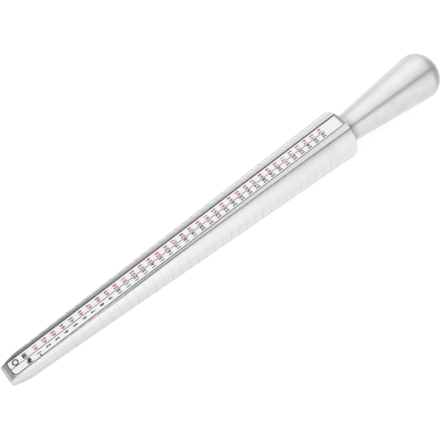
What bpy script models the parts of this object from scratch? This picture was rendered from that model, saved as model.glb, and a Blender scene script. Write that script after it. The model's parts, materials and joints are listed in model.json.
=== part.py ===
"""Ring sizer stick: a stepped aluminium mandrel with a flared handle and a scale label.

The stick is turned about its own X axis, tip at x = 0, then one long flat is milled
along the top for the label. It lies on the undersides of its lands, flat upwards.
All sizes are in metres.
"""

from math import atan2, cos, hypot, pi, sin, sqrt

import bmesh
import bpy
from mathutils import Vector

MM = 0.001

# Ring lands: each is a plain cylinder whose girth is the inner girth of one ring size
LAND_COUNT = 36
FIRST_GIRTH = 41 * MM
GIRTH_STEP = 1 * MM
LAND_PITCH = 4.65 * MM
FIRST_STEP_AT = 16.3 * MM

# Nose, from the flat tip face back to the first land
TIP_RADIUS = 4.55 * MM
NOSE_LENGTH = 10 * MM
NOSE_RINGS = 8

# Plain collar behind the last step, which goes on with the taper
COLLAR_LENGTH = 12.15 * MM
COLLAR_CHAMFER = 0.4 * MM

# Handle
NECK_RADIUS = 6.9 * MM
NECK_FILLET = 1.2 * MM
FILLET_RINGS = 4
FLARE_LENGTH = 55.2 * MM
BULB_RADIUS = 12.1 * MM
DOME_HEIGHT = 9.3 * MM
DOME_RINGS = 9

# Flat milled parallel to the taper
FLAT_DEPTH = 1.15 * MM

# Label
LABEL_WIDTH = 7.3 * MM
LABEL_THICKNESS = 0.2 * MM
LABEL_BED = 0.3 * MM
LABEL_START = 2.3 * MM
LABEL_END_GAP = 1.1 * MM
LABEL_EDGE_GAP = 0.3 * MM
LABEL_TIP_CORNER = 1.6 * MM
LABEL_COLLAR_CORNER = 0.6 * MM
CORNER_RINGS = 6

# Sides of the turned section, one of them facing straight down
SECTION_SIDES = 48
WELD_DISTANCE = 0.001 * MM

# Colours
ALUMINIUM = (0.80, 0.80, 0.82, 1.0)
LABEL_WHITE = (0.86, 0.86, 0.91, 1.0)


def land_radius(number):
    """Radius of ring land `number`, counted from 1."""
    return (FIRST_GIRTH + (number - 1) * GIRTH_STEP) / (2 * pi)


def step_at(number):
    """Place of the step that closes ring land `number`."""
    return FIRST_STEP_AT + (number - 1) * LAND_PITCH


TAPER = GIRTH_STEP / (2 * pi) / LAND_PITCH


def taper_radius(x):
    """Radius at x of the cone that touches every land's front corner."""
    return land_radius(1) + TAPER * (x - step_at(0))


COLLAR_END = step_at(LAND_COUNT) + COLLAR_LENGTH
COLLAR_RADIUS = taper_radius(COLLAR_END - COLLAR_CHAMFER)
BULB_AT = COLLAR_END + FLARE_LENGTH
STICK_LENGTH = BULB_AT + DOME_HEIGHT


def nose_outline():
    """Arc from the tip face that runs into the taper cone, tangent to it."""
    end = Vector((NOSE_LENGTH, taper_radius(NOSE_LENGTH)))
    along = Vector((1, TAPER)).normalized()
    inward = Vector((along.y, -along.x))
    chord = Vector((0, TIP_RADIUS)) - end
    arc_radius = chord.length_squared / (2 * chord.dot(inward))
    sweep = 2 * atan2(chord.dot(inward), -chord.dot(along))
    centre = end + arc_radius * inward
    points = []
    for ring in range(NOSE_RINGS + 1):
        turn = sweep * (1 - ring / NOSE_RINGS)
        points.append(tuple(centre - arc_radius * (inward * cos(turn) + along * sin(turn))))
    return points


def lands_outline():
    """Stepped measuring length: land 1's front corner, then each step up to the next land."""
    points = [(step_at(0), land_radius(1))]
    for number in range(1, LAND_COUNT + 1):
        points.append((step_at(number), land_radius(number)))
        points.append((step_at(number), land_radius(number + 1)))
    return points


def collar_outline():
    """Back edge of the collar, chamfered down to the shoulder face."""
    return [
        (COLLAR_END - COLLAR_CHAMFER, COLLAR_RADIUS),
        (COLLAR_END, COLLAR_RADIUS - COLLAR_CHAMFER),
    ]


def handle_outline():
    """Fillet out of the shoulder, straight flare and domed end."""
    points = []
    for ring in range(FILLET_RINGS + 1):
        turn = pi / 2 * ring / FILLET_RINGS
        x = COLLAR_END + NECK_FILLET * (1 - cos(turn))
        points.append((x, NECK_RADIUS + NECK_FILLET * (1 - sin(turn))))
    for ring in range(DOME_RINGS + 1):
        turn = pi / 2 * ring / DOME_RINGS
        points.append((BULB_AT + DOME_HEIGHT * sin(turn), BULB_RADIUS * cos(turn)))
    return points


def turned_outline():
    """Half section of the whole stick, from the tip's centre to the dome's centre."""
    outline = [(0, 0)]
    outline += nose_outline()
    outline += lands_outline()
    outline += collar_outline()
    outline += handle_outline()
    return outline


def make_material(name, colour, metallic, roughness):
    material = bpy.data.materials.new(name)
    material.use_nodes = True
    shader = material.node_tree.nodes["Principled BSDF"]
    shader.inputs["Base Color"].default_value = colour
    shader.inputs["Metallic"].default_value = metallic
    shader.inputs["Roughness"].default_value = roughness
    material.diffuse_color = colour
    return material


def make_object(name, builder, material, parent):
    """Mesh object from a filled bmesh, shaded smooth up to its sharp edges."""
    mesh = bpy.data.meshes.new(name)
    bmesh.ops.recalc_face_normals(builder, faces=builder.faces)
    builder.to_mesh(mesh)
    builder.free()
    mesh.materials.append(material)
    mesh.shade_smooth()
    mesh.set_sharp_from_angle(angle=pi / 8)
    thing = bpy.data.objects.new(name, mesh)
    bpy.context.collection.objects.link(thing)
    thing.parent = parent
    return thing


def make_mandrel(metal, parent):
    """Turn the outline about X, starting half a side away from straight down."""
    builder = bmesh.new()
    start = pi / SECTION_SIDES
    ring = []
    for x, radius in turned_outline():
        ring.append(builder.verts.new((x, radius * sin(start), -radius * cos(start))))
    edges = [builder.edges.new(pair) for pair in zip(ring, ring[1:])]
    bmesh.ops.spin(
        builder,
        geom=ring + edges,
        cent=(0, 0, 0),
        axis=(1, 0, 0),
        angle=2 * pi,
        steps=SECTION_SIDES,
    )
    bmesh.ops.remove_doubles(builder, verts=builder.verts, dist=WELD_DISTANCE)
    return make_object("mandrel", builder, metal, parent)


def mill_flat(mandrel, parent):
    """Cut the top away down to a plane parallel to the taper, tip to collar."""
    overrun = COLLAR_RADIUS / 2
    half_width = COLLAR_RADIUS * 1.5
    height = COLLAR_RADIUS
    stations = [-overrun]
    stations += [step_at(number) - LAND_PITCH / 2 for number in range(1, LAND_COUNT + 1)]
    stations += [COLLAR_END + overrun]
    builder = bmesh.new()
    sections = []
    for x in stations:
        floor = taper_radius(x) - FLAT_DEPTH
        corners = ((-1, floor), (1, floor), (1, floor + height), (-1, floor + height))
        sections.append([builder.verts.new((x, y * half_width, z)) for y, z in corners])
    builder.faces.new(sections[0])
    builder.faces.new(sections[-1][::-1])
    for front, back in zip(sections, sections[1:]):
        for side in range(4):
            after = (side + 1) % 4
            builder.faces.new((front[side], back[side], back[after], front[after]))
    bmesh.ops.recalc_face_normals(builder, faces=builder.faces)
    mesh = bpy.data.meshes.new("flat_cutter")
    builder.to_mesh(mesh)
    builder.free()
    cutter = bpy.data.objects.new("flat_cutter", mesh)
    bpy.context.collection.objects.link(cutter)
    cutter.parent = parent
    cutter.hide_render = True
    cutter.display_type = "WIRE"
    cut = mandrel.modifiers.new("label flat", "BOOLEAN")
    cut.operation = "DIFFERENCE"
    cut.object = cutter
    cut.solver = "EXACT"


def flat_half_width(x):
    """Half width of the flat on the taper cone at x."""
    radius = taper_radius(x)
    return sqrt(radius**2 - (radius - FLAT_DEPTH) ** 2)


def rounded_strip(length, width, start_corner, end_corner):
    """Outline of a strip along X, centred on Y, with its own corner radius at each end."""
    half = width / 2
    centres = (
        (start_corner, half - start_corner, start_corner, pi / 2),
        (start_corner, start_corner - half, start_corner, pi),
        (length - end_corner, end_corner - half, end_corner, 3 * pi / 2),
        (length - end_corner, half - end_corner, end_corner, 0),
    )
    points = []
    for x, y, radius, first in centres:
        for ring in range(CORNER_RINGS + 1):
            turn = first + pi / 2 * ring / CORNER_RINGS
            points.append((x + radius * cos(turn), y + radius * sin(turn)))
    return points


def make_label(paper, parent):
    """Thin strip over the flat, one long edge following the flat's edge at +Y."""
    start_x = LABEL_START
    end_x = COLLAR_END - LABEL_END_GAP
    first_size_x = step_at(1)
    margin = LABEL_EDGE_GAP + LABEL_WIDTH / 2
    near = Vector((first_size_x, flat_half_width(first_size_x) - margin))
    far = Vector((end_x, flat_half_width(end_x) - margin))
    skew = atan2(far.y - near.y, far.x - near.x)
    start_y = near.y - (first_size_x - start_x) * (far.y - near.y) / (far.x - near.x)
    length = hypot(end_x - start_x, far.y - start_y)

    builder = bmesh.new()
    outline = rounded_strip(length, LABEL_WIDTH, LABEL_TIP_CORNER, LABEL_COLLAR_CORNER)
    face = builder.faces.new([builder.verts.new((x, y, 0)) for x, y in outline])
    raised = bmesh.ops.extrude_face_region(builder, geom=[face])["geom"]
    top = [part for part in raised if isinstance(part, bmesh.types.BMVert)]
    bmesh.ops.translate(builder, verts=top, vec=(0, 0, LABEL_THICKNESS))
    label = make_object("scale_label", builder, paper, parent)

    seat = taper_radius(start_x) - FLAT_DEPTH + LABEL_BED
    label.location = (start_x, start_y, seat)
    label.rotation_euler = (0, -atan2(TAPER, 1), skew)
    return label


def make_rest_frame():
    """Empty that lays the axis down so that the lands' lower sides share z = 0."""
    side_ratio = cos(pi / SECTION_SIDES)
    lean = atan2(TAPER * side_ratio, 1)
    low_radius = land_radius(1) * side_ratio
    tip_height = low_radius * cos(lean) - step_at(0) * sin(lean)
    tip_reach = -TIP_RADIUS * sin(lean)
    dome_reach = STICK_LENGTH * cos(lean)
    rest = bpy.data.objects.new("rest_frame", None)
    bpy.context.collection.objects.link(rest)
    rest.location = (-(tip_reach + dome_reach) / 2, 0, tip_height)
    rest.rotation_euler = (0, -lean, 0)
    return rest


def main():
    for thing in list(bpy.data.objects):
        bpy.data.objects.remove(thing, do_unlink=True)
    metal = make_material("aluminium", ALUMINIUM, 1.0, 0.35)
    paper = make_material("label_white", LABEL_WHITE, 0.0, 0.45)
    rest = make_rest_frame()
    mandrel = make_mandrel(metal, rest)
    mill_flat(mandrel, rest)
    make_label(paper, rest)


main()
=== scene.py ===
"""Ring sizer stick: the turned stick with its milled flat, and the printed scale stuck on it.

The stick frame has its origin in the centre of the tip face, X along the stick's axis
and Z out of the flat. Sizes are written in millimetres and multiplied by MM.
"""

import json
from math import atan, atan2, cos, hypot, pi, radians, sin, sqrt

import bmesh
import bpy
from mathutils import Euler, Matrix, Vector

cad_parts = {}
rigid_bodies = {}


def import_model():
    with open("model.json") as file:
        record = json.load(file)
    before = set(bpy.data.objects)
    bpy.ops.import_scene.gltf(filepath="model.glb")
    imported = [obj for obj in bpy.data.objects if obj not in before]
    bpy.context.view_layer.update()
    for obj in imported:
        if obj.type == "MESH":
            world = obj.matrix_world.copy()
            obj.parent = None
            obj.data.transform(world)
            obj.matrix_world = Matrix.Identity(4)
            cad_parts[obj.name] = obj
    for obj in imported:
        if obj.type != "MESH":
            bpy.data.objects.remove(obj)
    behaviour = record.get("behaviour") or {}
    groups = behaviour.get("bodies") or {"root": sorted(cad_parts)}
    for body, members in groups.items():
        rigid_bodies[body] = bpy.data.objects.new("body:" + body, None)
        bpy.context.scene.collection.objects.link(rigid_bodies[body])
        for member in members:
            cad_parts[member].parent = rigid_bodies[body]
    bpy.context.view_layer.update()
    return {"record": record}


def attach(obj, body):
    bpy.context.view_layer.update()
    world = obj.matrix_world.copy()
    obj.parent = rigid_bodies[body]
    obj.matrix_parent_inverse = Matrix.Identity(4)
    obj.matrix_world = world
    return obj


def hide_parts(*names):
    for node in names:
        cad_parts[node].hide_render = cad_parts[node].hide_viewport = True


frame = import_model()

MM = 0.001

# Ring lands
LAND_COUNT = 36
FIRST_GIRTH = 41 * MM
GIRTH_STEP = 1 * MM
LAND_PITCH = 4.65 * MM
FIRST_STEP_AT = 16.3 * MM
LAND_CORNER = 0.02 * MM
# Shallow mark that the tool leaves at the foot of each step
FOOT_WIDTH = 0.5 * MM
FOOT_DEPTH = 0.004 * MM

# Nose, collar and handle
TIP_RADIUS = 4.55 * MM
TIP_BREAK = 0.12 * MM
NOSE_LENGTH = 10 * MM
COLLAR_LENGTH = 12.15 * MM
COLLAR_CHAMFER = 0.4 * MM
NECK_RADIUS = 6.9 * MM
NECK_FILLET = 1.2 * MM
FLARE_LENGTH = 55.2 * MM
BULB_RADIUS = 12.1 * MM
DOME_HEIGHT = 9.3 * MM

# Milled flat
FLAT_DEPTH = 1.15 * MM

# Turned section
SECTION_SIDES = 192
FLAT_SIDES = 8
NOSE_RINGS = 40
DOME_RINGS = 24
FILLET_RINGS = 8
WELD_DISTANCE = 0.001 * MM
LEAST_RADIUS = 1e-9
# Least cosine between a face of the flat and the flat's own direction
FLAT_FACING = 0.99999

# Scale label, on the flat
LABEL_WIDTH = 7.3 * MM
LABEL_EDGE_GAP = 0.3 * MM
LABEL_START = 2.3 * MM
LABEL_END_GAP = 1.45 * MM
# How far the collar end lies to +Y of a line along the flat's edge
LABEL_COLLAR_SHIFT = 0.45 * MM
# Front corners at +Y and -Y, then both back corners
LABEL_TIP_CORNERS = (1.1 * MM, 1.9 * MM)
LABEL_COLLAR_CORNER = 0.3 * MM
LABEL_CORNER_RINGS = 8
# Underside and top, over the flat
LABEL_BED = 0.03 * MM
LABEL_TOP = 0.16 * MM
LABEL_EDGE_ROUND = 0.05 * MM

# Print on the label: how far it reaches into and over the film
INK_SINK = 0.02 * MM
INK_RISE = 0.012 * MM
# The numbers stand this far ahead of their steps
NUMBER_LEAD = 0.6 * MM
DIVIDER_END_RUN = 1.2 * MM
DIVIDER_Y = -0.26 * MM
DIVIDER_WIDTH = 0.3 * MM
RED_ROW_Y = DIVIDER_Y + 1.54 * MM
BLACK_ROW_Y = DIVIDER_Y - 1.41 * MM
DIGIT_HEIGHT = 2.15 * MM
DIGIT_SQUEEZE = 0.66
DIGIT_WEIGHT = 0.055
DIGIT_PITCH = 1.25 * MM
HEADER_WEIGHT = 0.1
# Words at the head of the rows: text, place along the stick and across the label,
# height, squeeze and weight
HEAD_WORDS = (
    ("mm", 10.3 * MM, RED_ROW_Y, 2.0 * MM, 0.38, DIGIT_WEIGHT),
    ("No", 10.6 * MM, BLACK_ROW_Y - 0.1 * MM, 2.3 * MM, 0.62, HEADER_WEIGHT),
)
RING_MARK_AT = 5.85 * MM
RING_MARK_RADII = (1.42 * MM, 0.87 * MM)
TICK_START = 0.1 * MM
TICK_END = 1.4 * MM
TICK_WIDTH = 0.5 * MM
BORDER_INSET = 0.05 * MM
BORDER_END_GAP = 0.02 * MM
# Radius of the border's inner corners, as a share of its outer ones
BORDER_INNER_CORNER = 0.85
BORDER_TIP_WIDTH = 0.42 * MM
# The border at +Y is printed wider: part of its width is painted shade along the label's edge
BORDER_FLAT_SIDE_WIDTH = 0.56 * MM
BORDER_BARE_SIDE_WIDTH = 0.35 * MM

# Grain of the metal and the film, in cycles per millimetre
FINE_GRAIN = 9.0
BROAD_GRAIN = 0.7
HANDLED_GRAIN = 0.12
MILLED_GRAIN = 2.4
FILM_CLOUDS = 0.35
FILM_GRAIN = 9.0
INK_GRAIN = 4.0
# How far the cutter's arcs bow along the stick, per square millimetre across it
MILLED_BOW = 0.02

# Where the dull finish of the nose starts and ends along the stick, and where it ends
# across it, each as the two ends of a soft change, in millimetres
NOSE_DULL_START = (0.6, 1.1)
NOSE_DULL_END = (2.6, 2.9)
NOSE_DULL_SIDE = (3.5, 3.7)

# Changes along the stick: from and to in millimetres, then the values before and after
# Painted shade at the steps, fading out along the stick
STEP_SHADE = (50.0, 110.0, 0.06, 0.0)
STEPS_BEGIN = (11.0, 11.4)
# Painted shade lines along the flat's edges: how they drift, how strong they are and how far they
# reach
LINE_DRIFT_EARLY = (50.0, 90.0, 0.1, -0.5)
LINE_DRIFT_LATE = (150.0, 195.0, 0.0, 0.4)
LOW_LINE_EARLY = (45.0, 75.0, 0.5, 1.0)
LOW_LINE_LATE = (100.0, 180.0, 1.0, 0.95)
HIGH_LINE = (60.0, 180.0, 0.35, 1.0)
MILLED_LINE_REACH = (60.0, 110.0, 0.65, 0.42)
TURNED_LINE_REACH = 0.42
# Distances at which a painted shade line at a step or along the flat's edge is still whole and at
# which it has gone
STEP_SHADE_REACH = (0.1, 0.7)
HIGH_LINE_REACH = (0.2, 0.75)
# The low line is whole up to this share of its reach
LOW_LINE_CORE = 0.3

# Changes counted from the collar's back end, given in the same way
CHAMFER_START = (-0.45, -0.35, 0.0, 0.8)
CHAMFER_END = (0.0, 0.1, 1.0, 0.0)
SHOULDER_FACE = (-0.1, 0.0)
# Painted shade in the corner between shoulder and neck, and in the hollow behind it
SHOULDER_SHADE = (2.8, 7.8, 0.6, 0.0)
HOLLOW_SHADE = (3.4, 5.4, 0.82, 0.0)
GRIP_START = (0.0, 6.0)
# Painted shade at the dome's end, counted from the widest place of the handle
DOME_SHADE = (-4.0, 2.0, 0.0, 0.21)

# Changes across the stick, given in the same way
# Painted shade at the steps, fainter towards +Y
STEP_SHADE_ACROSS = (-1.0, 3.0, 1.0, 0.3)
# Painted shade behind the shoulder, weaker towards +Y
SHOULDER_SHADE_ACROSS = (-2.0, 4.0, 1.0, 0.6)
# Painted shade on the handle: full at -Y, half at +Y
GRIP_SHADE_ACROSS = (-2.0, 2.0, 1.0, 0.5)
# Where the painted shade behind the label stops across the flat
BEHIND_LABEL_ACROSS = (-1.8, -1.5)
# The painted shade in the hollow behind the shoulder is darkest along this line, and reaches up to
# these distances
HOLLOW_Y = -3.3
HOLLOW_REACH = (1.5, 3.4)

# How far the dull nose is from bare metal, and how much rougher it is
NOSE_MATT = 0.9
NOSE_ROUGH = 0.35
# Painted shade on the bare flat between the label's end and the collar
BEHIND_LABEL_SHADE = 0.75

# Colours, linear
TURNED_PALE = (0.90, 0.90, 0.91, 1)
TURNED_DARK = (0.82, 0.82, 0.83, 1)
# Mottled wear on the handle, together with painted shade on its side at -Y
HANDLE_WORN_AND_SHADED = (0.74, 0.735, 0.72, 1)
MILLED_PALE = (0.83, 0.83, 0.84, 1)
MILLED_DARK = (0.72, 0.72, 0.73, 1)
# Painted shade: the dark colour that the step rings, the lines along the flat's edges, the collar,
# the dome's end and the bare flat behind the label are mixed towards
PAINTED_SHADE_COLOUR = (0.30, 0.29, 0.30, 1)
NOSE_PALE = (0.62, 0.62, 0.62, 1)
NOSE_GREY = (0.34, 0.34, 0.345, 1)
LABEL_PALE = (0.90, 0.90, 0.925, 1)
LABEL_DULL = (0.86, 0.86, 0.89, 1)
INK_BLACK = (0.022, 0.022, 0.027, 1)
INK_RED = (0.46, 0.065, 0.2, 1)


def land_radius(number):
    """Radius of ring land `number`, counted from 1."""
    return (FIRST_GIRTH + (number - 1) * GIRTH_STEP) / (2 * pi)


def step_at(number):
    """Place of the step that closes ring land `number`."""
    return FIRST_STEP_AT + (number - 1) * LAND_PITCH


TAPER = GIRTH_STEP / (2 * pi) / LAND_PITCH


def taper_radius(x):
    """Radius at x of the cone over the lands' front corners."""
    return land_radius(1) + TAPER * (x - step_at(0))


COLLAR_END = step_at(LAND_COUNT) + COLLAR_LENGTH
COLLAR_RADIUS = taper_radius(COLLAR_END - COLLAR_CHAMFER)
BULB_AT = COLLAR_END + FLARE_LENGTH

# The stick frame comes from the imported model: its tip face is a mount
tip_mount = next(m for m in frame["record"]["mounts"] if m["name"] == "tip_face")
TIP_AT = Vector(tip_mount["pos_m"])
LEAN = atan2(-tip_mount["axis"][2], -tip_mount["axis"][0])
stick_to_world = Matrix.Translation(TIP_AT) @ Matrix.Rotation(-LEAN, 4, "Y")


# ---- node trees ----


class Socket:
    """Output of a node; arithmetic on it adds Math nodes to its tree."""

    def __init__(self, tree, output):
        self.tree = tree
        self.output = output

    def __add__(self, other):
        return self.tree.math("ADD", self, other)

    def __sub__(self, other):
        return self.tree.math("SUBTRACT", self, other)

    def __mul__(self, other):
        return self.tree.math("MULTIPLY", self, other)

    def __truediv__(self, other):
        return self.tree.math("DIVIDE", self, other)

    def __rsub__(self, other):
        return self.tree.math("SUBTRACT", other, self)

    def __rtruediv__(self, other):
        return self.tree.math("DIVIDE", other, self)

    __radd__ = __add__
    __rmul__ = __mul__

    def also(self, name):
        """Another output of the same node."""
        return Socket(self.tree, self.output.node.outputs[name])

    def dot(self, direction):
        """Dot product of a vector output and a fixed direction."""
        return self.tree.add(
            "ShaderNodeVectorMath", {"operation": "DOT_PRODUCT"}, {0: self, 1: direction}, "Value"
        )


class Tree:
    """Adds nodes to one shader or geometry tree."""

    def __init__(self, node_tree):
        self.node_tree = node_tree

    def add(self, kind, settings=None, sockets=None, out=0):
        """Node of a type: its settings, then the values or links of its sockets."""
        node = self.node_tree.nodes.new(kind)
        for name, value in (settings or {}).items():
            setattr(node, name, value)
        for name, value in (sockets or {}).items():
            if isinstance(value, Socket):
                self.node_tree.links.new(value.output, node.inputs[name])
            else:
                node.inputs[name].default_value = value
        return Socket(self, node.outputs[out]) if len(node.outputs) else None

    def math(self, operation, *values):
        return self.add("ShaderNodeMath", {"operation": operation}, dict(enumerate(values)))

    def ease(self, value, low, high, start=0.0, end=1.0):
        """Smooth change from start to end while value goes from low to high."""
        sockets = {0: value, 1: low, 2: high, 3: start, 4: end}
        return self.add("ShaderNodeMapRange", {"interpolation_type": "SMOOTHSTEP"}, sockets)

    def fade(self, value, low, high):
        """1 up to low, 0 from high."""
        return self.ease(value, low, high, 1.0, 0.0)

    def mix(self, factor, first, second):
        """Colour between two."""
        return self.add("ShaderNodeMix", {"data_type": "RGBA"}, {0: factor, 6: first, 7: second}, 2)

    def streaks(self, along, scale, detail=2.0):
        """Noise that changes along one direction only."""
        sockets = {"W": along, "Scale": scale, "Detail": detail}
        return self.add("ShaderNodeTexNoise", {"noise_dimensions": "1D"}, sockets)

    def mottle(self, place, scale, detail=2.0):
        """Noise in space."""
        sockets = {"Vector": place, "Scale": scale, "Detail": detail}
        return self.add("ShaderNodeTexNoise", {}, sockets)

    def bump(self, height, strength, distance):
        sockets = {"Strength": strength, "Distance": distance, "Height": height}
        return self.add("ShaderNodeBump", {}, sockets)


# ---- finishes ----


def new_finish(name):
    """Empty material and the place in it: stick-frame coordinates in millimetres."""
    material = bpy.data.materials.new(name)
    material.use_nodes = True
    material.node_tree.nodes.clear()
    tree = Tree(material.node_tree)
    place = tree.add(
        "ShaderNodeMapping",
        {"vector_type": "TEXTURE"},
        {
            "Vector": tree.add("ShaderNodeTexCoord", out="Object"),
            "Location": TIP_AT,
            "Rotation": (0, -LEAN, 0),
            "Scale": (MM, MM, MM),
        },
    )
    return material, tree, place


def surface(tree, **sockets):
    """Principled surface; socket names are written with underscores."""
    named = {name.replace("_", " "): value for name, value in sockets.items()}
    shader = tree.add("ShaderNodeBsdfPrincipled", {}, named)
    tree.add("ShaderNodeOutputMaterial", {}, {"Surface": shader})


def edge_line(tree, x, y, low_reach):
    """Painted shade: darker line along both long edges of the flat, strongest on the edge at -Y."""
    depth = FLAT_DEPTH / MM
    at_tip = 2 * depth * taper_radius(0) / MM - depth**2
    half = tree.math("SQRT", tree.math("MAXIMUM", x * (2 * depth * TAPER) + at_tip, 0.0))
    drift = tree.ease(x, *LINE_DRIFT_EARLY) + tree.ease(x, *LINE_DRIFT_LATE)
    from_low_edge = tree.math("ABSOLUTE", y + half + drift)
    from_high_edge = tree.math("ABSOLUTE", y - half)
    low = tree.fade(from_low_edge, low_reach * LOW_LINE_CORE, low_reach)
    low = low * tree.ease(x, *LOW_LINE_EARLY) * tree.ease(x, *LOW_LINE_LATE)
    high = tree.fade(from_high_edge, *HIGH_LINE_REACH) * tree.ease(x, *HIGH_LINE)
    return tree.math("MAXIMUM", low, high)


def step_residue(tree, x, y):
    """Painted shade: faint darker ring at each of the narrower steps, fainter on the side at +Y."""
    land = tree.math("FRACT", (x - FIRST_STEP_AT / MM) * (MM / LAND_PITCH) + 0.5)
    from_step = tree.math("ABSOLUTE", land - 0.5) * (LAND_PITCH / MM)
    ring = tree.fade(from_step, *STEP_SHADE_REACH) * tree.ease(x, *STEPS_BEGIN)
    return ring * tree.ease(x, *STEP_SHADE) * tree.ease(y, *STEP_SHADE_ACROSS)


def collar_residue(tree, x, y):
    """Painted shade on the collar's chamfer, in the corner between shoulder and neck and in the
    hollow behind the shoulder.
    """
    from_collar = x - COLLAR_END / MM
    at_chamfer = tree.ease(from_collar, *CHAMFER_START) * tree.ease(from_collar, *CHAMFER_END)
    # Painted shade next to the shoulder and in the hollow behind it
    shoulder_shade = tree.ease(from_collar, *SHOULDER_SHADE) * tree.ease(y, *SHOULDER_SHADE_ACROSS)
    from_hollow = tree.math("ABSOLUTE", y - HOLLOW_Y)
    hollow = tree.ease(from_collar, *HOLLOW_SHADE) * tree.fade(from_hollow, *HOLLOW_REACH)
    behind = tree.math("MAXIMUM", shoulder_shade, hollow) * tree.ease(from_collar, *SHOULDER_FACE)
    return tree.math("MAXIMUM", at_chamfer, behind)


def turned_finish():
    """Bright turned aluminium: fine rings left by the tool, painted shade at the steps, along the
    flat's edges, at the collar and at the dome's end, and a handle that is duller from wear and
    painted darker on its side at -Y.
    """
    material, tree, place = new_finish("turned_aluminium")
    axes = tree.add("ShaderNodeSeparateXYZ", {}, {0: place})
    x, y, z = axes, axes.also("Y"), axes.also("Z")
    fine = tree.streaks(x, FINE_GRAIN)
    broad = tree.streaks(x, BROAD_GRAIN)
    handled = tree.mottle(place, HANDLED_GRAIN, 3.0)
    from_collar = x - COLLAR_END / MM
    from_dome = x - BULB_AT / MM

    on_stick = tree.fade(from_collar, -0.3, 0.0)
    # Painted shade along the flat's edges, on the upper part of the round
    at_edge = edge_line(tree, x, y, TURNED_LINE_REACH) * on_stick * tree.ease(z, 0.0, 2.0)
    # Painted shade darkening the dome towards its end
    dome_shade = tree.ease(from_dome, *DOME_SHADE)
    # Painted shade from the steps, the flat's edges, the dome's end and the collar
    painted_shade = tree.math("MAXIMUM", step_residue(tree, x, y), at_edge)
    painted_shade = tree.math("MAXIMUM", painted_shade, dome_shade)
    painted_shade = tree.math("MAXIMUM", painted_shade, collar_residue(tree, x, y))

    across = tree.math("ABSOLUTE", y)
    nose = tree.fade(x, *NOSE_DULL_END) * tree.fade(across, *NOSE_DULL_SIDE)
    nose = nose * tree.ease(z, 0.0, 1.0)
    # Handle duller in mottled patches from wear, and painted shade making its side at -Y darker
    grip_wear_and_shade = tree.ease(handled, 0.35, 0.65, 0.55, 1.0) * tree.ease(y, *GRIP_SHADE_ACROSS)
    grip_wear_and_shade = grip_wear_and_shade * tree.ease(from_collar, *GRIP_START)
    tone = tree.mix(fine * 0.5 + broad * 0.3 + handled * 0.2, TURNED_DARK, TURNED_PALE)
    tone = tree.mix(grip_wear_and_shade, tone, HANDLE_WORN_AND_SHADED)
    dull = tree.mix(tree.ease(x, *NOSE_DULL_START), NOSE_PALE, NOSE_GREY)
    surface(
        tree,
        Base_Color=tree.mix(painted_shade, tree.mix(nose, tone, dull), PAINTED_SHADE_COLOUR),
        Metallic=1 - nose * NOSE_MATT,
        Roughness=handled * 0.08 + fine * 0.05 + nose * NOSE_ROUGH + 0.12,
        Normal=tree.bump(fine, 0.25, 0.01 * MM),
    )
    return material


def milled_finish():
    """Flat as the cutter left it: fine shallow arcs across, painted shade on the bare flat beyond
    the label's collar end and along the flat's edges.
    """
    material, tree, place = new_finish("milled_aluminium")
    axes = tree.add("ShaderNodeSeparateXYZ", {}, {0: place})
    x, y = axes, axes.also("Y")
    fine = tree.streaks(x + y * y * MILLED_BOW, MILLED_GRAIN, 3.0)
    nose = tree.fade(x, *NOSE_DULL_END)
    # Painted shade on the bare flat beyond the label's collar end
    behind_label_shade = tree.ease(x - LABEL_END / MM, -0.1, 0.0)
    behind_label_shade = behind_label_shade * tree.ease(y, *BEHIND_LABEL_ACROSS) * BEHIND_LABEL_SHADE
    # Painted shade line along the flat's edges
    line = edge_line(tree, x, y, tree.ease(x, *MILLED_LINE_REACH))
    # Painted shade from the flat's edges and from the bare flat behind the label
    painted_shade = tree.math("MAXIMUM", line, behind_label_shade)
    tone = tree.mix(tree.ease(fine, 0.3, 0.7), MILLED_DARK, MILLED_PALE)
    surface(
        tree,
        Base_Color=tree.mix(painted_shade, tree.mix(nose, tone, NOSE_GREY), PAINTED_SHADE_COLOUR),
        Metallic=1 - nose * NOSE_MATT,
        Roughness=fine * 0.12 + 0.3,
        Normal=tree.bump(fine, 0.4, 0.03 * MM),
    )
    return material


def label_finish():
    """White plastic film with a slight lavender cast."""
    material, tree, place = new_finish("label_film")
    cloudy = tree.mottle(place, FILM_CLOUDS, 4.0)
    grain = tree.mottle(place, FILM_GRAIN)
    surface(
        tree,
        Base_Color=tree.mix(cloudy, LABEL_DULL, LABEL_PALE),
        Roughness=cloudy * 0.15 + 0.35,
        Normal=tree.bump(grain, 0.1, 0.01 * MM),
    )
    return material


def ink_finish(name, colour):
    """Printing ink, a little greyer and rougher where it is thin."""
    material, tree, place = new_finish(name)
    thin = tuple(0.85 * part + 0.06 for part in colour[:3]) + (1,)
    uneven = tree.ease(tree.mottle(place, INK_GRAIN, 3.0), 0.45, 0.75)
    surface(tree, Base_Color=tree.mix(uneven, colour, thin), Roughness=uneven * 0.15 + 0.4)
    return material


# ---- geometry trees and pieces ----


def new_geometry_tree(name, inputs):
    """Geometry tree with named inputs; gives its node maker, inputs and their identifiers."""
    node_tree = bpy.data.node_groups.new(name, "GeometryNodeTree")
    interface = node_tree.interface
    interface.new_socket("Geometry", in_out="INPUT", socket_type="NodeSocketGeometry")
    for label, kind in inputs.items():
        interface.new_socket(label, in_out="INPUT", socket_type=kind)
    interface.new_socket("Geometry", in_out="OUTPUT", socket_type="NodeSocketGeometry")
    identifiers = {i.name: i.identifier for i in interface.items_tree if i.in_out == "INPUT"}
    tree = Tree(node_tree)
    given = tree.add("NodeGroupInput")
    return tree, given, identifiers


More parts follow.
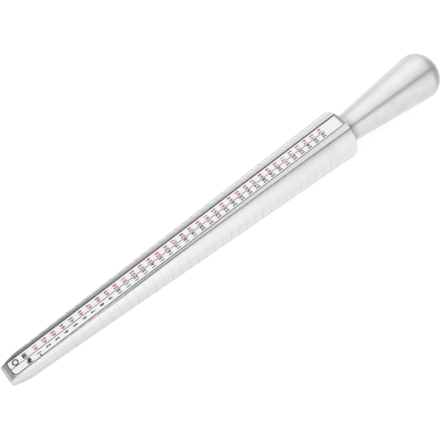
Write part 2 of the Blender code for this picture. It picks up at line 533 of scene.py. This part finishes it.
def grown(name, mesh, tree, identifiers, values):
    """Mesh that the tree makes from a start mesh and the values of its inputs."""
    thing = bpy.data.objects.new(name, mesh)
    bpy.context.scene.collection.objects.link(thing)
    modifier = thing.modifiers.new(name, "NODES")
    modifier.node_group = tree.node_tree
    for label, value in values.items():
        modifier[identifiers[label]] = value
    depsgraph = bpy.context.evaluated_depsgraph_get()
    made = bpy.data.meshes.new_from_object(thing.evaluated_get(depsgraph), depsgraph=depsgraph)
    bpy.data.objects.remove(thing)
    made.name = name
    return made


def placed_piece(name, mesh, place, sharp=30):
    """Piece of the object: mesh in its own frame, moved to its place, faces outwards."""
    mesh.transform(place)
    builder = bmesh.new()
    builder.from_mesh(mesh)
    bmesh.ops.recalc_face_normals(builder, faces=builder.faces)
    builder.to_mesh(mesh)
    builder.free()
    mesh.shade_smooth()
    mesh.set_sharp_from_angle(angle=radians(sharp))
    piece = bpy.data.objects.new(name, mesh)
    bpy.context.scene.collection.objects.link(piece)
    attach(piece, "root")
    return piece


# ---- turned stick ----


def nose_outline():
    """Broken tip edge, then an arc that runs into the taper cone, tangent to it."""
    end = Vector((NOSE_LENGTH, taper_radius(NOSE_LENGTH)))
    along = Vector((1, TAPER)).normalized()
    inward = Vector((along.y, -along.x))
    chord = Vector((0, TIP_RADIUS)) - end
    arc_radius = chord.length_squared / (2 * chord.dot(inward))
    sweep = 2 * atan2(chord.dot(inward), -chord.dot(along))
    centre = end + arc_radius * inward
    points = [(0, TIP_RADIUS - TIP_BREAK)]
    for ring in range(NOSE_RINGS + 1):
        turn = sweep * (1 - ring / NOSE_RINGS)
        x, radius = centre - arc_radius * (inward * cos(turn) + along * sin(turn))
        if x > TIP_BREAK:
            points.append((x, radius))
    return points


def land_outline(number):
    """One land: rounded front corner, plain length and the tool's mark at the next step."""
    start, end, radius = step_at(number - 1), step_at(number), land_radius(number)
    points = []
    for turn in (0, pi / 4, pi / 2):
        x = start + LAND_CORNER * (1 - cos(turn))
        points.append((x, radius - LAND_CORNER * (1 - sin(turn))))
    points.append((end - FOOT_WIDTH, radius))
    points.append((end - FOOT_WIDTH / 2, radius - FOOT_DEPTH))
    points.append((end, radius - FOOT_DEPTH / 2))
    return points


def collar_outline():
    """Front corner of the plain collar, its long side and its chamfered back edge."""
    start = step_at(LAND_COUNT)
    return [
        (start, land_radius(LAND_COUNT + 1) - LAND_CORNER),
        (start + LAND_CORNER, land_radius(LAND_COUNT + 1)),
        (COLLAR_END - COLLAR_CHAMFER, COLLAR_RADIUS),
        (COLLAR_END, COLLAR_RADIUS - COLLAR_CHAMFER),
    ]


def handle_outline():
    """Fillet out of the shoulder, straight flare and domed end."""
    points = []
    for ring in range(FILLET_RINGS + 1):
        turn = pi / 2 * ring / FILLET_RINGS
        x = COLLAR_END + NECK_FILLET * (1 - cos(turn))
        points.append((x, NECK_RADIUS + NECK_FILLET * (1 - sin(turn))))
    for ring in range(DOME_RINGS + 1):
        turn = pi / 2 * ring / DOME_RINGS
        points.append((BULB_AT + DOME_HEIGHT * sin(turn), BULB_RADIUS * cos(turn)))
    return points


def turned_outline():
    """Half section of the stick, from the tip's centre to the dome's centre."""
    outline = [(0, 0)] + nose_outline()
    for number in range(1, LAND_COUNT + 1):
        outline += land_outline(number)
    return outline + collar_outline() + handle_outline()


def outline_mesh(points):
    """Chain of edges through (x, radius) points."""
    mesh = bpy.data.meshes.new("turned_outline")
    edges = [(at, at + 1) for at in range(len(points) - 1)]
    mesh.from_pydata([(x, 0, radius) for x, radius in points], edges, [])
    return mesh


def turning_tree():
    """Turns an outline about X and mills its top down to a sloping plane.

    Each ring has its first few sides across the flat and the rest round the arc.
    """
    tree, given, identifiers = new_geometry_tree(
        "turned_and_milled",
        {
            "Sides": "NodeSocketInt",
            "Sides across flat": "NodeSocketInt",
            "Flat height at tip": "NodeSocketFloat",
            "Flat rise": "NodeSocketFloat",
            "Turned finish": "NodeSocketMaterial",
            "Milled finish": "NodeSocketMaterial",
        },
    )
    outline = given.also("Geometry")
    sides = given.also("Sides")
    across = given.also("Sides across flat")
    count = tree.add(
        "GeometryNodeAttributeDomainSize", {"component": "MESH"}, {0: outline}, "Point Count"
    )
    grid = tree.add(
        "GeometryNodeMeshGrid", {}, {"Vertices X": count, "Vertices Y": sides + 1}, "Mesh"
    )
    index = tree.add("GeometryNodeInputIndex")
    ring = tree.math("FLOOR", (index + 0.5) / (sides + 1))
    side = index - ring * (sides + 1)
    point = tree.add(
        "GeometryNodeSampleIndex",
        {"data_type": "FLOAT_VECTOR", "domain": "POINT"},
        {"Geometry": outline, "Value": tree.add("GeometryNodeInputPosition"), "Index": ring},
    )
    at = tree.add("ShaderNodeSeparateXYZ", {}, {0: point})
    x, radius = at, at.also("Z")
    flat_height = given.also("Flat height at tip") + x * given.also("Flat rise")
    ratio = tree.math("MINIMUM", flat_height / tree.math("MAXIMUM", radius, LEAST_RADIUS), 1.0)
    opening = tree.math("ARCCOSINE", ratio)
    on_flat = 1 - side / across * 2
    turn = opening + (side - across) / (sides - across) * (2 * pi - opening * 2)
    is_arc = tree.math("GREATER_THAN", side, across + 0.5)
    flat_y = radius * tree.math("SINE", opening) * on_flat
    flat_z = radius * tree.math("COSINE", opening)
    arc_y = radius * tree.math("SINE", turn) * -1
    arc_z = radius * tree.math("COSINE", turn)
    position = tree.add(
        "ShaderNodeCombineXYZ",
        {},
        {
            "X": x,
            "Y": flat_y + (arc_y - flat_y) * is_arc,
            "Z": flat_z + (arc_z - flat_z) * is_arc,
        },
    )
    turned = tree.add("GeometryNodeSetPosition", {}, {"Geometry": grid, "Position": position})
    closed = tree.add(
        "GeometryNodeMergeByDistance", {}, {"Geometry": turned, "Distance": WELD_DISTANCE}
    )
    facing = tree.add("GeometryNodeInputNormal")
    upward = Vector((-TAPER, 0, 1)).normalized()
    along_flat = tree.math("ABSOLUTE", facing.dot(upward))
    is_flat = tree.math("GREATER_THAN", along_flat, FLAT_FACING)
    result = tree.add("GeometryNodeRealizeInstances", {}, {0: closed})
    for finish, chosen in (("Turned finish", None), ("Milled finish", is_flat)):
        sockets = {"Geometry": result, "Material": given.also(finish)}
        if chosen:
            sockets["Selection"] = chosen
        result = tree.add("GeometryNodeSetMaterial", {}, sockets)
    tree.add("NodeGroupOutput", {}, {0: result})
    return tree, identifiers


def make_stick():
    tree, identifiers = turning_tree()
    values = {
        "Sides": SECTION_SIDES,
        "Sides across flat": FLAT_SIDES,
        "Flat height at tip": taper_radius(0) - FLAT_DEPTH,
        "Flat rise": TAPER,
        "Turned finish": turned_finish(),
        "Milled finish": milled_finish(),
    }
    start = outline_mesh(turned_outline())
    mesh = grown("ring_stick", start, tree, identifiers, values)
    stick = placed_piece("ring_stick", mesh, stick_to_world, sharp=5)
    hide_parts("mandrel")


# ---- scale label ----


def flat_half_width(x):
    """Half width of the flat on the taper cone at x."""
    radius = taper_radius(x)
    return sqrt(radius**2 - (radius - FLAT_DEPTH) ** 2)


LABEL_END = COLLAR_END - LABEL_END_GAP
label_margin = LABEL_EDGE_GAP + LABEL_WIDTH / 2
near_y = flat_half_width(FIRST_STEP_AT) - label_margin
far_y = flat_half_width(LABEL_END) - label_margin
label_slope = (far_y - near_y) / (LABEL_END - FIRST_STEP_AT)
LABEL_START_Y = near_y - (FIRST_STEP_AT - LABEL_START) * label_slope
label_slope += LABEL_COLLAR_SHIFT / (LABEL_END - LABEL_START)
LABEL_LENGTH = (LABEL_END - LABEL_START) * hypot(1, label_slope)
ALONG_LABEL = hypot(1, TAPER)
label_to_world = stick_to_world @ Matrix.LocRotScale(
    Vector((LABEL_START, LABEL_START_Y, taper_radius(LABEL_START) - FLAT_DEPTH)),
    Euler((0, -atan(TAPER), atan(label_slope))),
    None,
)


def along_label(x):
    """Distance from the label's front end of a place x along the stick."""
    return (x - LABEL_START) * ALONG_LABEL


def rounded_strip(x_range, y_range, start_corners, end_corner):
    """Outline of a strip along X, anticlockwise from its start's corner at +Y.

    Radii: the start's corners at +Y and -Y, then both corners of the end.
    """
    (x_low, x_high), (y_low, y_high) = x_range, y_range
    high_corner, low_corner = start_corners
    places = (
        (x_low + high_corner, y_high - high_corner, high_corner, pi / 2),
        (x_low + low_corner, y_low + low_corner, low_corner, pi),
        (x_high - end_corner, y_low + end_corner, end_corner, 3 * pi / 2),
        (x_high - end_corner, y_high - end_corner, end_corner, 0),
    )
    points = []
    for x, y, radius, first in places:
        for ring in range(LABEL_CORNER_RINGS + 1):
            turn = first + pi / 2 * ring / LABEL_CORNER_RINGS
            points.append((x + radius * cos(turn), y + radius * sin(turn)))
    return points


def label_outline(inset):
    half = LABEL_WIDTH / 2 - inset
    return rounded_strip(
        (inset, LABEL_LENGTH - inset),
        (-half, half),
        [corner - inset for corner in LABEL_TIP_CORNERS],
        LABEL_COLLAR_CORNER - inset,
    )


def add_loop(builder, points, z):
    return [builder.verts.new((x, y, z)) for x, y in points]


def join_loops(builder, lower, upper, closed=True):
    count = len(lower)
    for at in range(count if closed else count - 1):
        after = (at + 1) % count
        builder.faces.new((lower[at], lower[after], upper[after], upper[at]))


def make_label():
    """Film with a rounded top edge."""
    builder = bmesh.new()
    part_way = LABEL_EDGE_ROUND * 0.3
    loops = [
        add_loop(builder, label_outline(0), LABEL_BED),
        add_loop(builder, label_outline(0), LABEL_TOP - LABEL_EDGE_ROUND),
        add_loop(builder, label_outline(part_way), LABEL_TOP - part_way),
        add_loop(builder, label_outline(LABEL_EDGE_ROUND), LABEL_TOP),
    ]
    builder.faces.new(loops[0][::-1])
    for lower, upper in zip(loops, loops[1:]):
        join_loops(builder, lower, upper)
    builder.faces.new(loops[-1])
    mesh = bpy.data.meshes.new("label_film")
    builder.to_mesh(mesh)
    builder.free()
    mesh.materials.append(label_finish())
    label = placed_piece("label_film", mesh, label_to_world, sharp=40)
    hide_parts("scale_label")


def raise_print(builder, faces):
    """Gives flat print its thickness: from just inside the film to just above it."""
    raised = bmesh.ops.extrude_face_region(builder, geom=faces)["geom"]
    top = [part for part in raised if isinstance(part, bmesh.types.BMVert)]
    bmesh.ops.translate(builder, verts=top, vec=(0, 0, INK_SINK + INK_RISE))


def add_bar(builder, x_range, y_range):
    """Printed straight line."""
    (x_low, x_high), (y_low, y_high) = x_range, y_range
    z = LABEL_TOP - INK_SINK
    outline = ((x_low, y_low), (x_high, y_low), (x_high, y_high), (x_low, y_high))
    raise_print(builder, [builder.faces.new(add_loop(builder, outline, z))])


def add_border(builder):
    """Printed outline on three sides; the collar end is cut through it."""
    half = LABEL_WIDTH / 2
    end = LABEL_LENGTH - BORDER_END_GAP
    outer_low, outer_high = BORDER_INSET - half, half - BORDER_INSET
    inner_low = outer_low + BORDER_BARE_SIDE_WIDTH
    # The line at +Y is printed wider and takes in painted shade along the label's edge
    inner_high = outer_high - BORDER_FLAT_SIDE_WIDTH
    inner_start = BORDER_INSET + BORDER_TIP_WIDTH
    outer_corners = [corner - BORDER_INSET for corner in LABEL_TIP_CORNERS]
    inner_corners = [corner * BORDER_INNER_CORNER for corner in outer_corners]
    outer = rounded_strip((BORDER_INSET, end), (outer_low, outer_high), outer_corners, 0)
    inner = rounded_strip((inner_start, end), (inner_low, inner_high), inner_corners, 0)
    # Only the two front corners are kept: the loops run from the side at +Y round the tip
    front = 2 * (LABEL_CORNER_RINGS + 1)
    z = LABEL_TOP - INK_SINK
    outer_loop = add_loop(builder, [(end, outer_high)] + outer[:front] + [(end, outer_low)], z)
    inner_loop = add_loop(builder, [(end, inner_high)] + inner[:front] + [(end, inner_low)], z)
    count = len(builder.faces)
    join_loops(builder, outer_loop, inner_loop, closed=False)
    raise_print(builder, list(builder.faces)[count:])


def add_ring_mark(builder, centre_x, centre_y, sides=40):
    """Small picture of a ring."""
    z = LABEL_TOP - INK_SINK
    loops = []
    for radius in RING_MARK_RADII:
        turns = [2 * pi * side / sides for side in range(sides)]
        points = [(centre_x + radius * cos(t), centre_y + radius * sin(t)) for t in turns]
        loops.append(add_loop(builder, points, z))
    count = len(builder.faces)
    join_loops(builder, loops[0], loops[1])
    raise_print(builder, list(builder.faces)[count:])


def glyph_mesh(text, height, squeeze, weight):
    """Printed characters as a closed mesh: centred, tops towards the tip, reading along +Y."""
    curve = bpy.data.curves.new("glyph", "FONT")
    curve.body = text
    # One unit thick in all, until it is sized below
    curve.extrude = 0.5
    curve.offset = weight
    curve.resolution_u = 3
    thing = bpy.data.objects.new("glyph", curve)
    bpy.context.scene.collection.objects.link(thing)
    depsgraph = bpy.context.evaluated_depsgraph_get()
    mesh = bpy.data.meshes.new_from_object(thing.evaluated_get(depsgraph), depsgraph=depsgraph)
    bpy.data.objects.remove(thing)
    low = [min(v.co[axis] for v in mesh.vertices) for axis in (0, 1)]
    high = [max(v.co[axis] for v in mesh.vertices) for axis in (0, 1)]
    scale = height / (high[1] - low[1])
    thickness = INK_SINK + INK_RISE
    middle = LABEL_TOP + (INK_RISE - INK_SINK) / 2
    centre = Matrix.Translation((-(low[0] + high[0]) / 2, -(low[1] + high[1]) / 2, 0))
    sized = Matrix.Diagonal((scale * squeeze, scale, thickness, 1))
    turned = Matrix.Rotation(pi / 2, 4, "Z")
    mesh.transform(Matrix.Translation((0, 0, middle)) @ turned @ sized @ centre)
    builder = bmesh.new()
    builder.from_mesh(mesh)
    bmesh.ops.remove_doubles(builder, verts=builder.verts, dist=WELD_DISTANCE)
    builder.to_mesh(mesh)
    builder.free()
    return mesh


def number_row_tree():
    """Row of whole numbers, each built from its digits."""
    tree, given, identifiers = new_geometry_tree(
        "number_row",
        {
            "First number": "NodeSocketInt",
            "Count": "NodeSocketInt",
            "First place": "NodeSocketVector",
            "Pitch": "NodeSocketFloat",
            "Digit pitch": "NodeSocketFloat",
            "Digits": "NodeSocketCollection",
            "Ink": "NodeSocketMaterial",
        },
    )
    spacing = tree.add("ShaderNodeCombineXYZ", {}, {"X": given.also("Pitch")})
    row = tree.add(
        "GeometryNodeMeshLine",
        {},
        {
            "Count": given.also("Count"),
            "Start Location": given.also("First place"),
            "Offset": spacing,
        },
    )
    number = tree.add("GeometryNodeInputIndex") + given.also("First number")
    tens = tree.math("FLOOR", (number + 0.5) / 10)
    ones = number - tens * 10
    has_tens = tree.math("GREATER_THAN", tens, 0.5)
    digits = tree.add(
        "GeometryNodeCollectionInfo",
        {"transform_space": "ORIGINAL"},
        {"Collection": given.also("Digits"), "Separate Children": True, "Reset Children": True},
    )
    join = tree.add("GeometryNodeJoinGeometry")
    for digit, side, chosen in ((tens, -0.5, has_tens), (ones, 0.5, None)):
        shift = tree.add(
            "ShaderNodeCombineXYZ", {}, {"Y": given.also("Digit pitch") * side * has_tens}
        )
        moved = tree.add("GeometryNodeSetPosition", {}, {"Geometry": row, "Offset": shift})
        sockets = {
            "Points": moved,
            "Instance": digits,
            "Pick Instance": True,
            "Instance Index": digit,
        }
        if chosen:
            sockets["Selection"] = chosen
        placed = tree.add("GeometryNodeInstanceOnPoints", {}, sockets)
        tree.node_tree.links.new(placed.output, join.output.node.inputs[0])
    real = tree.add("GeometryNodeRealizeInstances", {}, {0: join})
    inked = tree.add(
        "GeometryNodeSetMaterial", {}, {"Geometry": real, "Material": given.also("Ink")}
    )
    tree.add("NodeGroupOutput", {}, {0: inked})
    return tree, identifiers


def make_numbers(red, black):
    """Ring girths in red on the flat's +Y half, size numbers in black beside them."""
    digits = bpy.data.collections.new("digits")
    for digit in range(10):
        mesh = glyph_mesh(str(digit), DIGIT_HEIGHT, DIGIT_SQUEEZE, DIGIT_WEIGHT)
        digits.objects.link(bpy.data.objects.new(f"digit_{digit}", mesh))
    tree, identifiers = number_row_tree()
    first_x = along_label(FIRST_STEP_AT - NUMBER_LEAD)
    rows = (
        ("girth_numbers", round(FIRST_GIRTH / MM), RED_ROW_Y, red),
        ("size_numbers", 1, BLACK_ROW_Y, black),
    )
    for name, first, y, ink in rows:
        values = {
            "First number": first,
            "Count": LAND_COUNT,
            "First place": (first_x, y, 0),
            "Pitch": LAND_PITCH * ALONG_LABEL,
            "Digit pitch": DIGIT_PITCH,
            "Digits": digits,
            "Ink": ink,
        }
        mesh = grown(name, bpy.data.meshes.new(name), tree, identifiers, values)
        placed_piece(name, mesh, label_to_world)
    for thing in list(digits.objects):
        bpy.data.objects.remove(thing)
    bpy.data.collections.remove(digits)


def make_lines(black):
    """Border, divider between the rows and the marks at the head of each row."""
    builder = bmesh.new()
    add_border(builder)
    start = BORDER_INSET + BORDER_TIP_WIDTH
    end = along_label(step_at(LAND_COUNT) + DIVIDER_END_RUN)
    low = DIVIDER_Y - DIVIDER_WIDTH / 2
    add_bar(builder, (start, end), (low, low + DIVIDER_WIDTH))
    add_ring_mark(builder, along_label(RING_MARK_AT), RED_ROW_Y)
    first_number = along_label(FIRST_STEP_AT - NUMBER_LEAD)
    low_side = BORDER_INSET - LABEL_WIDTH / 2
    tick_sides = (first_number - TICK_WIDTH / 2, first_number + TICK_WIDTH / 2)
    add_bar(builder, tick_sides, (low_side + TICK_START, low_side + TICK_END))
    for text, x, y, height, squeeze, weight in HEAD_WORDS:
        mesh = glyph_mesh(text, height, squeeze, weight)
        mesh.transform(Matrix.Translation((along_label(x), y, 0)))
        builder.from_mesh(mesh)
    mesh = bpy.data.meshes.new("scale_lines")
    builder.to_mesh(mesh)
    builder.free()
    mesh.materials.append(black)
    placed_piece("scale_lines", mesh, label_to_world)


# ---- studio ----

CAMERA_AT = TIP_AT + Vector((-27.27, -132.12, 353.03)) * MM
CAMERA_TURN = (28.970, -3.830, -40.286)
CAMERA_LENS = 71.6

# Turn of the room about the stick's length, in degrees
ROOM_TURN = -4.4

# Middle of the room's bright side, and the cosines from it over which the room darkens
BRIGHT_SIDE = (49, -1)
BRIGHT_RANGE = (-0.71, -0.2)
BRIGHT_LEVEL = 0.98

# Soft patches in the bright side: azimuth, elevation, angle at which the patch has gone,
# angle up to which it is whole, and the light that it adds
PATCHES = (
    (9, 17, 38, 0, 0.18),
    (-2, 4, 31, 0, -0.17),
    (155, 5, 16, 5, -0.12),
    (125, 62, 40, 10, 0.1),
    (158, -28, 22, 6, 0.07),
    (110, -30, 60, 20, -0.08),
    (5, -40, 38, 10, -0.08),
    (132, -42, 28, 10, -0.17),
    (108, -58, 24, 10, -0.07),
    (-30, -66, 34, 14, -0.16),
    (165, -70, 30, 14, -0.35),
)

# Grey screen at the handle's side, and the darker gap between the panels that crosses it
SCREEN = (70, 19, 60, 7)
SCREEN_SHADE = 0.34
GAP_ENDS = ((33, 54), (79, 12))
GAP_HALF_WIDTH = 14
GAP_REACH = (0.72, 0.85)
GAP_SHADE = 0.5

# The dark side: its own level, what the table adds from below, and a far window
DARK_LEVEL = 0.183
TABLE_LIGHT = 0.215
WINDOW = (-110, -5, 66, 36)
WINDOW_LIGHT = 0.9
CEILING_CORNER = (-150, 65, 30, 14)
CEILING_CORNER_SHADE = 0.45

FLOOR_HALF_SIZE = 2.0
FLOOR_PAINT = (0.3, 0.3, 0.3, 1)
FLOOR_GLOW = 0.78


def direction(azimuth, elevation):
    """Unit vector in the room; azimuth 0 is towards -Y, 90 towards +X."""
    a, e = radians(azimuth), radians(elevation)
    vector = Vector((sin(a) * cos(e), -cos(a) * cos(e), sin(e)))
    return Matrix.Rotation(radians(ROOM_TURN), 3, "X") @ vector


def light_studio():
    """White room with one dark side; only reflections see its patches, all else sees white."""
    world = bpy.data.worlds.new("studio")
    bpy.context.scene.world = world
    world.use_nodes = True
    world.node_tree.nodes.clear()
    tree = Tree(world.node_tree)
    towards = tree.add("ShaderNodeTexCoord", out="Generated")

    def patch(azimuth, elevation, outer, inner):
        """1 within the inner angle of a direction, 0 beyond the outer angle."""
        across = towards.dot(direction(azimuth, elevation))
        return tree.ease(across, cos(radians(outer)), cos(radians(inner)))

    gap_start, gap_end = (direction(*end) for end in GAP_ENDS)
    from_gap = tree.math("ABSOLUTE", towards.dot(gap_start.cross(gap_end).normalized()))
    within = tree.ease(towards.dot((gap_start + gap_end).normalized()), *GAP_REACH)
    gap = tree.fade(from_gap, 0.0, sin(radians(GAP_HALF_WIDTH))) * within

    bright = BRIGHT_LEVEL - patch(*SCREEN) * (1 - gap) * SCREEN_SHADE - gap * GAP_SHADE
    for *place, light in PATCHES:
        bright = bright + patch(*place) * light
    downward = tree.math("MAXIMUM", towards.dot(Vector((0, 0, -1))), 0.0)
    dark = downward * TABLE_LIGHT + patch(*WINDOW) * WINDOW_LIGHT + DARK_LEVEL
    bright_side = tree.ease(towards.dot(direction(*BRIGHT_SIDE)), *BRIGHT_RANGE)
    room = dark + (bright - dark) * bright_side
    room = room - patch(*CEILING_CORNER) * CEILING_CORNER_SHADE

    ray = tree.add("ShaderNodeLightPath", out="Is Camera Ray")
    glossy = ray.also("Is Glossy Ray")
    level = glossy * room + (1 - glossy)
    background = tree.add("ShaderNodeBackground", {}, {"Color": (1, 1, 1, 1), "Strength": level})
    tree.add("ShaderNodeOutputWorld", {}, {"Surface": background})


def make_floor():
    """White floor that keeps a faint shadow; in reflections the room's lower half stands for it."""
    mesh = bpy.data.meshes.new("floor")
    signs = ((-1, -1), (1, -1), (1, 1), (-1, 1))
    outline = [(x * FLOOR_HALF_SIZE, y * FLOOR_HALF_SIZE, 0) for x, y in signs]
    mesh.from_pydata(outline, [], [(0, 1, 2, 3)])
    material = bpy.data.materials.new("floor_white")
    material.use_nodes = True
    material.node_tree.nodes.clear()
    tree = Tree(material.node_tree)
    ray = tree.add("ShaderNodeLightPath", out="Is Camera Ray")
    seen = tree.math("MAXIMUM", ray, ray.also("Is Glossy Ray"))
    seen = tree.math("MAXIMUM", seen, ray.also("Is Transmission Ray"))
    paint = tree.add("ShaderNodeBsdfDiffuse", {}, {"Color": FLOOR_PAINT})
    glow = tree.add("ShaderNodeEmission", {}, {"Strength": seen * FLOOR_GLOW})
    both = tree.add("ShaderNodeAddShader", {}, {0: paint, 1: glow})
    tree.add("ShaderNodeOutputMaterial", {}, {"Surface": both})
    mesh.materials.append(material)
    floor = bpy.data.objects.new("floor", mesh)
    bpy.context.scene.collection.objects.link(floor)
    floor.visible_glossy = False


def place_camera():
    data = bpy.data.cameras.new("camera")
    data.lens = CAMERA_LENS
    data.sensor_width = 36
    data.clip_start = 0.01
    camera = bpy.data.objects.new("camera", data)
    camera.location = CAMERA_AT
    camera.rotation_euler = [radians(angle) for angle in CAMERA_TURN]
    bpy.context.scene.collection.objects.link(camera)
    bpy.context.scene.camera = camera


place_camera()
make_stick()
make_label()
red_ink = ink_finish("red_ink", INK_RED)
black_ink = ink_finish("black_ink", INK_BLACK)
make_numbers(red_ink, black_ink)
make_lines(black_ink)
light_studio()
make_floor()
bpy.context.scene.view_settings.view_transform = "Standard"
